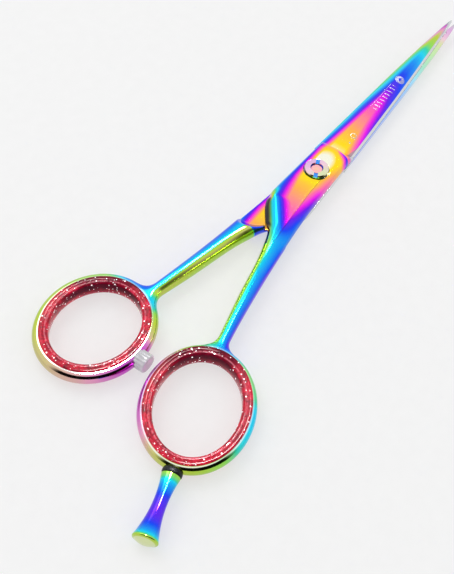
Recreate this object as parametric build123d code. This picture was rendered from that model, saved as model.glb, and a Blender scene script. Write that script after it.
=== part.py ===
from build123d import *
import math
import os

# Six-inch thinning shears, in millimetres.
# The pivot axis is Z and the two halves slide on each other in the plane Z = 0.
# +X points to the blade tips, and the thumb handle lies on the +Y side.
# Each half is drawn in one common pose: closed, lying above Z = 0, with its cutting
# edge and its handle on the -Y side. The thumb half is then turned over about X.

# ---- driving dimensions -------------------------------------------------------------
TIP_X = 70.1                  # blade tip, 152 mm from the far end of the finger ring
REST_OPENING = 1.1            # degrees that the shears stand open at rest

SLIDE_GAP = 0.03              # each half stops this far short of the plane Z = 0
BOSS_TOP = 2.55               # outer face of a half around the pivot
SHANK_HALF_HEIGHT = 2.25
RING_HALF_HEIGHT = 1.75
EDGE_ROUND = 1.4              # rounding along the handles
SMALL_GAP = 0.03              # clearance between fixed neighbours
RUNNING_GAP = 0.03            # radial clearance of a running fit
OVERRUN = 1.0                 # cutting shapes run past the body by this much
TOLERANCE = 0.05              # places closer than this count as one

# The blade, from the pivot boss to the tip: (x, spine y, edge y, crown height).
BLADE_STATIONS = [
    (4.0, 4.55, -4.62, 2.25),
    (20.0, 3.65, -3.85, 2.05),
    (40.0, 2.60, -2.70, 1.65),
    (56.0, 1.55, -1.55, 1.30),
    (66.0, 0.72, -0.75, 0.95),
    (TIP_X, 0.22, -0.22, 0.55),
]
BEVEL_WIDTH = 0.40            # ground bevel along the cutting edge
BEVEL_HEIGHT = 0.45
BEVEL_LIMIT = 0.35            # the bevel never takes more than this share of the section
SPINE_SHARE = 0.55            # height of the spine's flank, as a share of the crown
HOLLOW_DEPTH = 0.14           # hollow grind of the inner face, at the widest section
CROWN_SHIFT = 0.12            # the crown's ridge stands this share of the width off centre
BOSS_END_CENTRE = (-1.5, 0.4)  # the raised boss ends in this arc
BOSS_END_RADIUS = 9.9
BOSS_END_SPREAD = 1.4         # and slopes down by 1 mm in this distance

# Half of the handle's thickness, from the ring to the boss: (x, half thickness).
HANDLE_HEIGHTS = [
    (-52.0, RING_HALF_HEIGHT),
    (-44.0, SHANK_HALF_HEIGHT - 0.05),
    (-28.0, SHANK_HALF_HEIGHT),
    (-14.0, BOSS_TOP),
]

# The handle's sides, each as the few points that its curve passes through.
HEEL = (-12.7, 5.35)
SPINE_SIDE = [HEEL, (-3.0, 4.92), (10.3, 4.15)]
INNER_SIDE = [HEEL, (-16.6, 2.55), (-20.4, 0.0), (-25.3, -1.75), (-39.4, -4.90), (-56.0, -8.5)]
EDGE_SIDE = [(10.3, -4.42), (-9.0, -4.85), (-29.5, -6.90), (-46.5, -9.45), (-56.0, -11.3)]
HEEL_ROUND = 1.6
JUNCTION_ROUND = 2.4          # where the shank runs out into the ring

# Rings: the rebate line is the oval where steel and insert meet on the face.
# "steel" is the steel outside that line, and "wider" what the shank's outer side gains.
FINGER_RING = {"centre": (-66.6, -13.7), "half_axes": (13.55, 10.95), "tilt": 22.0,
               "steel": 1.05, "wider": 0.0, "inner": 0.0}
THUMB_RING = {"centre": (-64.3, -13.25), "half_axes": (12.50, 11.05), "tilt": 4.0,
              "steel": 1.45, "wider": 0.55, "inner": 0.30}
REBATE_WIDTH = 1.20           # steel under the insert's flange
REBATE_HALF_HEIGHT = 0.95
INSERT_WIDTH = 2.10           # insert inside the rebate line
INSERT_HALF_HEIGHT = 2.05
INSERT_ROUND = 0.45

# The lap joint: the opposite half turns in this space.
LAP_ARC_CENTRE = (-16.4, -5.4)
LAP_ARC_RADIUS = 5.2
LAP_RAMP_SPREAD = 1.1         # the ramp widens this much per millimetre of depth
LAP_WALL = [(-21.0, 0.0), (-20.3, -0.7), (-13.7, -5.8)]
LAP_DEPTH = 4.0               # the cut runs past the outer face,
LAP_REACH = 90.0              # past the tip
LAP_SIDE = 14.0               # and past both sides

# Thinning teeth of the thumb blade.
TOOTH_COUNT = 30
TOOTH_FIRST_X = 13.0
TOOTH_LAST_X = 66.0
TOOTH_GAP_SHARE = 0.52        # share of each pitch that is gap
TOOTH_DEPTH_SHARE = 0.62      # gap depth, as a share of the blade's width

# The pivot stack, from the stud's head to the nut's face.
STUD_HEAD_RADIUS = 3.1
STUD_HEAD_FACE = -2.85
STUD_HEAD_ROUND = 0.35
STUD_SHOULDER = -1.65         # underside of the head
STUD_RADIUS = 1.80
STUD_THREAD_RADIUS = 1.50
STUD_THREAD_START = 1.80
STUD_END = 2.75
STUD_END_CHAMFER = 0.2
BUSHING_RADIUS = 2.30
WASHER_POCKET_RADIUS = 3.90
WASHER_POCKET_DEPTH = 0.24
BLADE_WASHER_RADIUS = 3.80
BLADE_WASHER_THICKNESS = 0.42
NUT_POCKET_RADIUS = 3.10
NUT_POCKET_FLOOR = 1.75
NUT_WASHER_RADIUS = 3.00
NUT_WASHER_THICKNESS = 0.25
SPRING_WASHER_THICKNESS = 0.20
SPRING_WASHER_DISH = 0.15
NUT_RADIUS = 2.90
NUT_UNDERSIDE = 2.45
NUT_TOP = 3.25
NUT_HUB_RADIUS = 2.05
NUT_HUB_END = 1.85
NUT_NOTCH_WIDTH = 0.95
NUT_NOTCH_DEPTH = 0.40
NUT_NOTCH_ANGLE = 25.0
NUT_BEVEL = 0.22

# Bumper between the rings.
BUMPER_RADIUS = 2.15
BUMPER_X = -64.6
BUMPER_FLUTES = 14
BUMPER_FLUTE_RADIUS = 0.32
BUMPER_STEM_RADIUS = 0.90
BUMPER_STEM_LENGTH = 1.6
BUMPER_STEM_LAP = 0.5         # the stem starts this far inside the barrel
BUMPER_CHAMFER = 0.35
BUMPER_CLOSED_GAP = 0.03      # left between the bumper and the finger ring when closed

# Finger rest, screwed into the finger ring.
REST_DIRECTION = 196.0        # degrees from +X
REST_AIM = (-80.0, -17.8)     # the rest's axis passes through this point
REST_LENGTH = 14.4
REST_TOP_RADIUS = 2.0
REST_WAIST_RADIUS = 1.42
REST_WAIST_SHARE = 0.42       # the waist stands this share of the length from the ring
REST_END_RADIUS = 2.65
REST_DOME = 0.7
REST_RIM_ROUND = 0.3
REST_SEAT_DEPTH = 0.30        # flat spot in the ring under the rubber washer
REST_WASHER_THICKNESS = 1.3
REST_WASHER_RADIUS = 2.1
REST_WASHER_ROUND = 0.3
REST_STUD_RADIUS = 1.0
REST_STUD_LENGTH = 1.6

PARTS_FOLDER = "parts"


# ---- helpers ------------------------------------------------------------------------
def disc(radius, low, high, x=0.0, y=0.0):
    """An upright cylinder from height low to height high."""
    return Pos(x, y, (low + high) / 2) * Cylinder(radius, high - low)


def tube(outer_radius, inner_radius, low, high):
    """A plain ring about the pivot axis."""
    return disc(outer_radius, low, high) - disc(inner_radius, low - OVERRUN, high + OVERRUN)


def oval(ring, growth, low, high):
    """The ring's oval, grown or shrunk by growth, as an upright solid."""
    half_length, half_width = ring["half_axes"]
    outline = Ellipse(half_length + growth, half_width + growth)
    x, y = ring["centre"]
    placed = Pos(x, y, low) * Rot(0, 0, ring["tilt"]) * outline
    return extrude(placed, high - low, dir=(0, 0, 1))


def turned_over(shape):
    """A half turned over about X and opened to its rest pose, as the thumb half lies."""
    return Rot(0, 0, -REST_OPENING) * Rot(180, 0, 0) * shape


def upright_edges(shape):
    """Edges that run straight up and down, from face to face."""
    found = []
    for edge in shape.edges():
        size = edge.bounding_box().size
        if size.X < TOLERANCE and size.Y < TOLERANCE and size.Z > BOSS_TOP:
            found.append(edge)
    return found


def nearest_edge(edges, x, y):
    """The edge whose middle is nearest to a point in plan."""
    return min(edges, key=lambda edge: math.hypot(edge.center().X - x, edge.center().Y - y))


def oval_reach(ring, growth, direction):
    """How far the grown oval reaches from its centre along a direction in degrees."""
    half_length, half_width = ring["half_axes"]
    angle = math.radians(direction - ring["tilt"])
    along = (half_length + growth) * math.cos(angle)
    across = (half_width + growth) * math.sin(angle)
    return math.hypot(along, across)


def oval_crossing(ring, growth, point, direction):
    """Distance from a point to the grown oval, going outwards along a direction."""
    half_length, half_width = ring["half_axes"]
    turn = math.radians(-ring["tilt"])
    heading = math.radians(direction) + turn
    dx = point[0] - ring["centre"][0]
    dy = point[1] - ring["centre"][1]
    px = (dx * math.cos(turn) - dy * math.sin(turn)) / (half_length + growth)
    py = (dx * math.sin(turn) + dy * math.cos(turn)) / (half_width + growth)
    ux = math.cos(heading) / (half_length + growth)
    uy = math.sin(heading) / (half_width + growth)
    a = ux * ux + uy * uy
    b = px * ux + py * uy
    c = px * px + py * py - 1
    return (-b + math.sqrt(b * b - a * c)) / a


# ---- the two halves -----------------------------------------------------------------
def blade_sides(x):
    """Spine and edge of the blade at x, between the stations."""
    for near, far in zip(BLADE_STATIONS, BLADE_STATIONS[1:]):
        if x <= far[0]:
            break
    share = (x - near[0]) / (far[0] - near[0])
    spine = near[1] + share * (far[1] - near[1])
    edge = near[2] + share * (far[2] - near[2])
    return spine, edge


def blade_section(x, spine, edge, crown):
    """One cross-section: bevel, crowned outer face, spine flank and hollow inner face."""
    width = spine - edge
    bevel_width = min(BEVEL_WIDTH, BEVEL_LIMIT * width)
    bevel_top = SLIDE_GAP + min(BEVEL_HEIGHT, BEVEL_LIMIT * crown)
    middle = (spine + edge) / 2
    widest = BLADE_STATIONS[0][1] - BLADE_STATIONS[0][2]
    hollow = SLIDE_GAP + HOLLOW_DEPTH * width / widest
    edge_point = Vector(x, edge, SLIDE_GAP)
    bevel_point = Vector(x, edge + bevel_width, bevel_top)
    ridge = Vector(x, middle + CROWN_SHIFT * width, crown)
    spine_top = Vector(x, spine, SPINE_SHARE * crown)
    spine_foot = Vector(x, spine, SLIDE_GAP)
    hollow_point = Vector(x, middle, hollow)
    outline = Wire([
        Line(edge_point, bevel_point),
        ThreePointArc(bevel_point, ridge, spine_top),
        Line(spine_top, spine_foot),
        ThreePointArc(spine_foot, hollow_point, edge_point),
    ])
    return Face(outline)


def blade():
    """The tapering blade, from inside the boss to the tip."""
    sections = [blade_section(*station) for station in BLADE_STATIONS]
    return loft(sections)


def shifted_side(points, still_from, shift):
    """A side of the shank moved sideways by shift, fading out before the boss."""
    moved = []
    for x, y in points:
        share = (x - still_from) / (points[-1][0] - still_from)
        moved.append((x, y + shift * min(1.0, max(0.0, 2 * share))))
    return moved


def handle_outline(ring):
    """Plan view of boss and shank. The shank's end lies inside the ring."""
    edge_side = shifted_side(EDGE_SIDE, EDGE_SIDE[0][0], -ring["wider"])
    inner_side = shifted_side(INNER_SIDE, LAP_WALL[0][0], -ring["inner"])
    boundary = Wire([
        Spline(*SPINE_SIDE),
        Line(SPINE_SIDE[-1], edge_side[0]),
        Spline(*edge_side),
        Line(edge_side[-1], inner_side[-1]),
        Spline(*reversed(inner_side)),
    ])
    return Face(boundary)


def side_profile():
    """Side view that sets the handle's thickness along its length."""
    far_end = -LAP_REACH
    level = (1, 0, 0)
    ring_end = HANDLE_HEIGHTS[0][0]
    boss_start = HANDLE_HEIGHTS[-1][0]
    boss_end = EDGE_SIDE[0][0]
    upper = Spline(*[Vector(x, 0, z) for x, z in HANDLE_HEIGHTS], tangents=[level, level])
    lower = Spline(*[Vector(x, 0, -z) for x, z in HANDLE_HEIGHTS], tangents=[level, level])
    outline = Wire([
        Line((far_end, 0, RING_HALF_HEIGHT), (ring_end, 0, RING_HALF_HEIGHT)),
        upper,
        Line((boss_start, 0, BOSS_TOP), (boss_end, 0, BOSS_TOP)),
        Line((boss_end, 0, BOSS_TOP), (boss_end, 0, -BOSS_TOP)),
        Line((boss_end, 0, -BOSS_TOP), (boss_start, 0, -BOSS_TOP)),
        lower,
        Line((ring_end, 0, -RING_HALF_HEIGHT), (far_end, 0, -RING_HALF_HEIGHT)),
        Line((far_end, 0, -RING_HALF_HEIGHT), (far_end, 0, RING_HALF_HEIGHT)),
    ])
    return extrude(Face(outline), LAP_REACH, both=True)


def handle(ring):
    """Boss, shank and ring as one rounded bar, before the lap is cut."""
    low = -BOSS_TOP
    plan = extrude(Pos(0, 0, low) * handle_outline(ring), 2 * BOSS_TOP, dir=(0, 0, 1))
    bar = plan + oval(ring, ring["steel"], low, BOSS_TOP)
    bar = fillet(nearest_edge(upright_edges(bar), *HEEL), HEEL_ROUND)
    ring_x, ring_y = ring["centre"]
    seam_reach = ring["half_axes"][0] + ring["steel"]
    seam_x = ring_x + seam_reach * math.cos(math.radians(ring["tilt"]))
    shank_end = INNER_SIDE[-1][0]
    shank_start = INNER_SIDE[-2][0]
    junctions = []
    for edge in upright_edges(bar):
        x = edge.center().X
        on_seam = abs(x - seam_x) < TOLERANCE
        if shank_end < x < shank_start and not on_seam:
            junctions.append(edge)
    bar = fillet(junctions, JUNCTION_ROUND)
    bar = bar & side_profile()
    boss_end = EDGE_SIDE[0][0]
    rims = []
    for edge in bar.edges():
        middle = edge.center()
        if abs(middle.Z) > EDGE_ROUND and middle.X < boss_end - TOLERANCE:
            rims.append(edge)
    return fillet(rims, EDGE_ROUND)


def lap_space():
    """What is cut away below the sliding face, so that the other half can turn there."""
    x, y = LAP_ARC_CENTRE
    far_radius = LAP_ARC_RADIUS + LAP_RAMP_SPREAD * LAP_DEPTH
    ramp = Pos(x, y, SLIDE_GAP - LAP_DEPTH / 2) * Cone(far_radius, LAP_ARC_RADIUS, LAP_DEPTH)
    corners = [(LAP_WALL[0][0], LAP_SIDE), *LAP_WALL, (LAP_WALL[-1][0], -LAP_SIDE),
               (LAP_REACH, -LAP_SIDE), (LAP_REACH, LAP_SIDE)]
    plan = make_face(Polyline(*corners, close=True))
    wall = extrude(Pos(0, 0, SLIDE_GAP) * plan, LAP_DEPTH, dir=(0, 0, -1))
    return ramp + wall


def boss_end_space():
    """What is cut away beyond the rounded end of the raised boss."""
    x, y = BOSS_END_CENTRE
    low_radius = BOSS_END_RADIUS + BOSS_END_SPREAD * BOSS_TOP
    block = Pos(LAP_SIDE / 2, 0, 0) * Box(LAP_SIDE, 2 * LAP_SIDE, 2 * (BOSS_TOP + OVERRUN))
    kept = Pos(x, y, BOSS_TOP / 2) * Cone(low_radius, BOSS_END_RADIUS, BOSS_TOP)
    kept_above = disc(BOSS_END_RADIUS, BOSS_TOP - TOLERANCE, BOSS_TOP + 2 * OVERRUN, x, y)
    kept_below = disc(low_radius, -BOSS_TOP - 2 * OVERRUN, TOLERANCE, x, y)
    return block - kept - kept_above - kept_below


def half(ring, bore_radius):
    """One forged half, as drawn in the common pose."""
    body = handle(ring) - lap_space() - boss_end_space()
    body = body + blade()
    body = body - oval(ring, -REBATE_WIDTH, -BOSS_TOP, BOSS_TOP)
    body = body - oval(ring, 0.0, REBATE_HALF_HEIGHT, BOSS_TOP)
    body = body - oval(ring, 0.0, -BOSS_TOP, -REBATE_HALF_HEIGHT)
    body = body - disc(bore_radius, -BOSS_TOP, 2 * BOSS_TOP)
    return body - disc(WASHER_POCKET_RADIUS, -OVERRUN, WASHER_POCKET_DEPTH)


def finger_half():
    """The upper half, with the nut's pocket and the threaded hole for the finger rest."""
    body = half(FINGER_RING, BUSHING_RADIUS + SMALL_GAP)
    body = body - disc(NUT_POCKET_RADIUS, NUT_POCKET_FLOOR, 2 * BOSS_TOP)
    seat = along_rest(disc(REST_WASHER_RADIUS + SMALL_GAP, 0.0, REST_END_RADIUS))
    hole_end = -REST_STUD_LENGTH - SMALL_GAP
    hole = along_rest(disc(REST_STUD_RADIUS + RUNNING_GAP, hole_end, OVERRUN))
    return body - seat - hole


def tooth_gaps():
    """The comb of gaps along the thumb blade's edge."""
    pitch = (TOOTH_LAST_X - TOOTH_FIRST_X) / TOOTH_COUNT
    gap = TOOTH_GAP_SHARE * pitch
    cuts = []
    for number in range(TOOTH_COUNT):
        x = TOOTH_FIRST_X + (number + 0.5) * pitch
        spine, edge = blade_sides(x)
        root = edge + TOOTH_DEPTH_SHARE * (spine - edge) - gap / 2
        mouth = edge - OVERRUN
        slit = Pos(x, (mouth + root) / 2, BOSS_TOP / 2) * Box(gap, root - mouth, 2 * BOSS_TOP)
        cuts.append(slit + disc(gap / 2, -BOSS_TOP / 2, BOSS_TOP + BOSS_TOP / 2, x, root))
    return cuts


def thumb_half():
    """The lower half, toothed, with the stud's seat and the bumper's hole."""
    body = half(THUMB_RING, STUD_RADIUS)
    body = body - disc(STUD_HEAD_RADIUS + SMALL_GAP, -STUD_SHOULDER, 2 * BOSS_TOP)
    body = body - tooth_gaps()
    base = bumper_base()
    hole = along_bumper(disc(BUMPER_STEM_RADIUS, base - BUMPER_STEM_LENGTH, base + OVERRUN))
    return turned_over(body - hole)


# ---- the pivot ----------------------------------------------------------------------
def pivot_stud():
    """Headed stud, fixed in the thumb half and threaded at its upper end."""
    head = disc(STUD_HEAD_RADIUS, STUD_HEAD_FACE, STUD_SHOULDER)
    rim = head.edges().sort_by(Axis.Z)[0]
    head = fillet(rim, STUD_HEAD_ROUND)
    shank = disc(STUD_RADIUS, STUD_SHOULDER, STUD_THREAD_START)
    thread = disc(STUD_THREAD_RADIUS, STUD_THREAD_START, STUD_END)
    thread = chamfer(thread.edges().sort_by(Axis.Z)[-1], STUD_END_CHAMFER)
    return head + shank + thread


def pivot_bushing():
    """Plain sleeve in the finger half, which turns about the stud."""
    low = WASHER_POCKET_DEPTH + SMALL_GAP
    high = NUT_POCKET_FLOOR
    return tube(BUSHING_RADIUS, STUD_RADIUS + RUNNING_GAP, low, high)


def blade_washer():
    """Thin washer that keeps the two halves apart around the pivot."""
    thick = BLADE_WASHER_THICKNESS / 2
    return tube(BLADE_WASHER_RADIUS, STUD_RADIUS + RUNNING_GAP, -thick, thick)


def nut_washer():
    """Plain nylon washer on the floor of the nut's pocket."""
    low = NUT_POCKET_FLOOR + SMALL_GAP
    bore = NUT_HUB_RADIUS + RUNNING_GAP
    return tube(NUT_WASHER_RADIUS, bore, low, low + NUT_WASHER_THICKNESS)


def spring_washer():
    """Dished steel washer that presses the nut outwards."""
    low = NUT_POCKET_FLOOR + NUT_WASHER_THICKNESS + 2 * SMALL_GAP
    bore = NUT_HUB_RADIUS + RUNNING_GAP
    rim = NUT_WASHER_RADIUS
    profile = Polyline(
        (rim, 0, low),
        (rim, 0, low + SPRING_WASHER_THICKNESS),
        (bore, 0, low + SPRING_WASHER_THICKNESS + SPRING_WASHER_DISH),
        (bore, 0, low + SPRING_WASHER_DISH),
        close=True,
    )
    return revolve(make_face(profile), Axis.Z)


def tension_nut():
    """Round nut with a hub, an open threaded bore and two notches for a key."""
    flange = disc(NUT_RADIUS, NUT_UNDERSIDE, NUT_TOP)
    flange = chamfer(flange.edges().sort_by(Axis.Z)[-1], NUT_BEVEL)
    hub = disc(NUT_HUB_RADIUS, NUT_HUB_END, NUT_UNDERSIDE)
    body = flange + hub - disc(STUD_THREAD_RADIUS + RUNNING_GAP, 0.0, 2 * NUT_TOP)
    notch = Box(3 * NUT_RADIUS, NUT_NOTCH_WIDTH, 2 * NUT_NOTCH_DEPTH)
    return body - Pos(0, 0, NUT_TOP) * Rot(0, 0, NUT_NOTCH_ANGLE) * notch


# ---- inserts ------------------------------------------------------------------------
def insert(ring):
    """Soft ring liner whose two flanges lie in the steel ring's rebates."""
    high = INSERT_HALF_HEIGHT
    web = oval(ring, -REBATE_WIDTH - SMALL_GAP, -high, high)
    flange_foot = REBATE_HALF_HEIGHT + SMALL_GAP
    upper = oval(ring, -SMALL_GAP, flange_foot, high)
    lower = oval(ring, -SMALL_GAP, -high, -flange_foot)
    body = web + upper + lower - oval(ring, -INSERT_WIDTH, -2 * high, 2 * high)
    rims = [edge for edge in body.edges() if abs(edge.center().Z) > high - TOLERANCE]
    return fillet(rims, INSERT_ROUND)


# ---- bumper -------------------------------------------------------------------------
def along_bumper(shape):
    """Lays a shape built on Z along the bumper's axis, in the common pose."""
    return Pos(BUMPER_X, 0, 0) * Rot(-90, 0, 0) * shape


def bumper_base():
    """Where the thumb ring's outside crosses the bumper's axis."""
    ring_y = THUMB_RING["centre"][1]
    return ring_y + oval_crossing(THUMB_RING, THUMB_RING["steel"], (BUMPER_X, ring_y), 90)


def bumper():
    """Fluted soft stop on the thumb ring, with a stem pressed into the ring."""
    base = bumper_base()
    reach = oval_reach(FINGER_RING, FINGER_RING["steel"], 90)
    finger_ring_top = FINGER_RING["centre"][1] + reach
    end = -finger_ring_top - BUMPER_CLOSED_GAP
    root = base - OVERRUN
    barrel = disc(BUMPER_RADIUS, root, end)
    barrel = chamfer(barrel.edges().sort_by(Axis.Z)[-1], BUMPER_CHAMFER)
    for number in range(BUMPER_FLUTES):
        angle = 2 * math.pi * number / BUMPER_FLUTES
        x = BUMPER_RADIUS * math.cos(angle)
        y = BUMPER_RADIUS * math.sin(angle)
        barrel = barrel - disc(BUMPER_FLUTE_RADIUS, root, end, x, y)
    barrel = along_bumper(barrel) - handle(THUMB_RING)
    stem = disc(BUMPER_STEM_RADIUS, base - BUMPER_STEM_LENGTH, base + BUMPER_STEM_LAP)
    stem = along_bumper(stem)
    return turned_over(barrel + stem)


# ---- finger rest --------------------------------------------------------------------
def along_rest(shape):
    """Lays a shape built on Z along the finger rest's axis, from the ring's outside."""
    reach = oval_crossing(FINGER_RING, FINGER_RING["steel"], REST_AIM, REST_DIRECTION)
    reach = reach - REST_SEAT_DEPTH
    heading = math.radians(REST_DIRECTION)
    x = REST_AIM[0] + reach * math.cos(heading)
    y = REST_AIM[1] + reach * math.sin(heading)
    return Pos(x, y, 0) * Rot(0, 0, REST_DIRECTION) * Rot(0, 90, 0) * shape


def rest_washer():
    """Rubber washer under the finger rest."""
    low = SMALL_GAP
    high = REST_WASHER_THICKNESS
    ring = disc(REST_WASHER_RADIUS, low, high)
    ring = ring - disc(REST_STUD_RADIUS + RUNNING_GAP, low - OVERRUN, high + OVERRUN)
    longest = 2 * math.pi * REST_WASHER_RADIUS
    rims = [edge for edge in ring.edges() if edge.length > longest - TOLERANCE]
    return along_rest(fillet(rims, REST_WASHER_ROUND))


def finger_rest():
    """Waisted post with a flared, domed end and its own threaded stud."""
    foot = REST_WASHER_THICKNESS + SMALL_GAP
    end = foot + REST_LENGTH
    waist = foot + REST_WAIST_SHARE * REST_LENGTH
    rim = end - REST_DOME
    rim_start = rim - REST_RIM_ROUND
    cap_edge = REST_END_RADIUS - REST_RIM_ROUND
    cap_radius = (cap_edge ** 2 + REST_DOME ** 2) / (2 * REST_DOME)
    cap_middle = cap_edge / 2
    cap_height = end - cap_radius + math.sqrt(cap_radius ** 2 - cap_middle ** 2)
    corner = REST_RIM_ROUND * (1 - math.sqrt(0.5))
    outline = Wire([
        Line((0, 0, foot), (REST_TOP_RADIUS, 0, foot)),
        Spline((REST_TOP_RADIUS, 0, foot), (REST_WAIST_RADIUS, 0, waist),
               (REST_END_RADIUS, 0, rim_start)),
        ThreePointArc((REST_END_RADIUS, 0, rim_start),
                      (REST_END_RADIUS - corner, 0, rim - corner), (cap_edge, 0, rim)),
        ThreePointArc((cap_edge, 0, rim), (cap_middle, 0, cap_height), (0, 0, end)),
        Line((0, 0, end), (0, 0, foot)),
    ])
    post = revolve(Face(outline), Axis.Z)
    return along_rest(post + disc(REST_STUD_RADIUS, -REST_STUD_LENGTH, foot))


# ---- all pieces ---------------------------------------------------------------------
PIECES = {
    "finger_half": finger_half(),
    "thumb_half": thumb_half(),
    "pivot_stud": pivot_stud(),
    "pivot_bushing": pivot_bushing(),
    "blade_washer": blade_washer(),
    "nut_washer": nut_washer(),
    "spring_washer": spring_washer(),
    "tension_nut": tension_nut(),
    "finger_insert": insert(FINGER_RING),
    "thumb_insert": turned_over(insert(THUMB_RING)),
    "bumper": bumper(),
    "finger_rest": finger_rest(),
    "rest_washer": rest_washer(),
}

os.makedirs(PARTS_FOLDER, exist_ok=True)
for name, piece in PIECES.items():
    export_step(piece, f"{PARTS_FOLDER}/{name}.step")
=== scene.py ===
import math

import bpy
import numpy as np
from mathutils import Matrix, Vector


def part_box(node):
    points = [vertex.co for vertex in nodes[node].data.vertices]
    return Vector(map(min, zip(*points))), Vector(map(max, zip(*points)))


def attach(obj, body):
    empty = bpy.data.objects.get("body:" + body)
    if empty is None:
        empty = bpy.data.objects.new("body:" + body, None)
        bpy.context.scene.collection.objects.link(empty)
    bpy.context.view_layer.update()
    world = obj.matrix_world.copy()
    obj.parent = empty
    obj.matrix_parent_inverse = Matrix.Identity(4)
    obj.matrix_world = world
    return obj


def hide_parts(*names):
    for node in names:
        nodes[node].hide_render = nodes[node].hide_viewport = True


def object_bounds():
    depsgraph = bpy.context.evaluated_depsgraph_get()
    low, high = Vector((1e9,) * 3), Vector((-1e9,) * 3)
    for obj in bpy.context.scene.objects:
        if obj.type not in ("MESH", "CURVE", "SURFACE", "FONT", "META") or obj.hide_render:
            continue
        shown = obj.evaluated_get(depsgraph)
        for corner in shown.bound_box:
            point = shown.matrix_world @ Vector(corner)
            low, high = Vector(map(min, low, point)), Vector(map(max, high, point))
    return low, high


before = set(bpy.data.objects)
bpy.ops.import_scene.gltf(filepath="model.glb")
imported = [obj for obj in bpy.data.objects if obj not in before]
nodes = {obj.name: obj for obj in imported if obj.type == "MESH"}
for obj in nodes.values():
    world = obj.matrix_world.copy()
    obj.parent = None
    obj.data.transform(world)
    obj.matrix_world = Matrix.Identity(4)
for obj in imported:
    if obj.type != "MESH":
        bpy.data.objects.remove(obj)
cad_low, cad_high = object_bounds()

MM = 0.001
REST_OPENING = math.radians(1.1)     # how far the shears stand open at rest
REST_HEADING = math.radians(196.0)   # where the finger rest points


# ---- shapes shared by the meshes and the materials ----
# Both halves are drawn closed, above Z = 0, with edge and handle on the -Y side, in mm.
# A line is a list of (X, value) pairs.
GAP = 0.03                    # from the sliding plane to either half
HEIGHT_LINE = [(-52, 1.75), (-44, 2.15), (-28, 2.3), (-12, 2.6), (10, 2.6)]
SPINE_LINE = [(-24, 4.6), (-12.7, 5.35), (-3, 4.92), (10.3, 4.15)]
INNER_LINE = [(-60, -9.0), (-56, -8.5), (-39.4, -4.9), (-25.3, -1.75), (-20.4, 0.0),
              (-16.6, 2.55), (-12.7, 5.35), (-9, 8.6), (12, 27)]
HEEL_LINE = INNER_LINE[3:8]   # the inner side along the curved heel
EDGE_LINE = [(-60, -11.9), (-56, -11.3), (-46.5, -9.45), (-29.5, -6.9), (-9, -4.85),
             (10.3, -4.42)]
CREASE_LINE = [(-34, -5.0), (-30, -4.2), (-20, -3.25), (-12, -2.75), (-4, -2.4), (3, -3.3),
               (8, -3.9)]
RIM_LINE = [(-54, 1.6), (-47, 1.75), (-40, 2.0), (-32, 2.1), (-24, 2.0), (-14, 1.5), (10, 1.3)]
BLADE_SPINE = [(4, 4.55), (20, 3.65), (40, 2.60), (56, 1.55), (66, 0.72), (70.1, 0.22)]
BLADE_EDGE = [(4, -4.62), (20, -3.85), (40, -2.70), (56, -1.55), (66, -0.75), (70.1, -0.22)]
BLADE_CROWN = [(4, 2.25), (20, 2.05), (40, 1.65), (56, 1.30), (66, 0.95), (70.1, 0.55)]
# A ring is an oval at the insert's rebate, with steel round it. The handle's edge side is
# wider and its inner side further in by the last two.
FINGER_RING = {"centre": (-66.6, -13.7), "half_axes": (13.55, 10.95), "tilt": 22.0,
               "steel": 1.05, "wider": 0.0, "inner": 0.0}
THUMB_RING = {"centre": (-64.3, -13.25), "half_axes": (12.5, 11.05), "tilt": 4.0,
              "steel": 1.45, "wider": 0.55, "inner": 0.30}


def turned_over(points):
    """A half turned over about X and opened to its rest pose."""
    x, y, z = points.T
    c, s = math.cos(-REST_OPENING), math.sin(-REST_OPENING)
    return np.stack([x * c + y * s, x * s - y * c, -z], axis=1)


# ---- surface formulas ----
class Field:
    """A number that varies over a surface: the output of a shader node."""

    def __init__(self, sheet, socket):
        self.sheet = sheet
        self.socket = socket

    def combine(self, operation, *others):
        return self.sheet.calculate(operation, self, *others)

    def __add__(self, other):
        return self.combine("ADD", other)

    def __radd__(self, other):
        return self.combine("ADD", other)

    def __sub__(self, other):
        return self.combine("SUBTRACT", other)

    def __rsub__(self, other):
        return self.sheet.calculate("SUBTRACT", other, self)

    def __mul__(self, other):
        return self.combine("MULTIPLY", other)

    def __rmul__(self, other):
        return self.combine("MULTIPLY", other)

    def __truediv__(self, other):
        return self.combine("DIVIDE", other)

    def __neg__(self):
        return self.combine("MULTIPLY", -1.0)

    def above(self, limit):
        """How far the number is above a limit, or zero."""
        return (self - limit).combine("MAXIMUM", 0.0)

    def size(self):
        return self.combine("ABSOLUTE")


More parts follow.
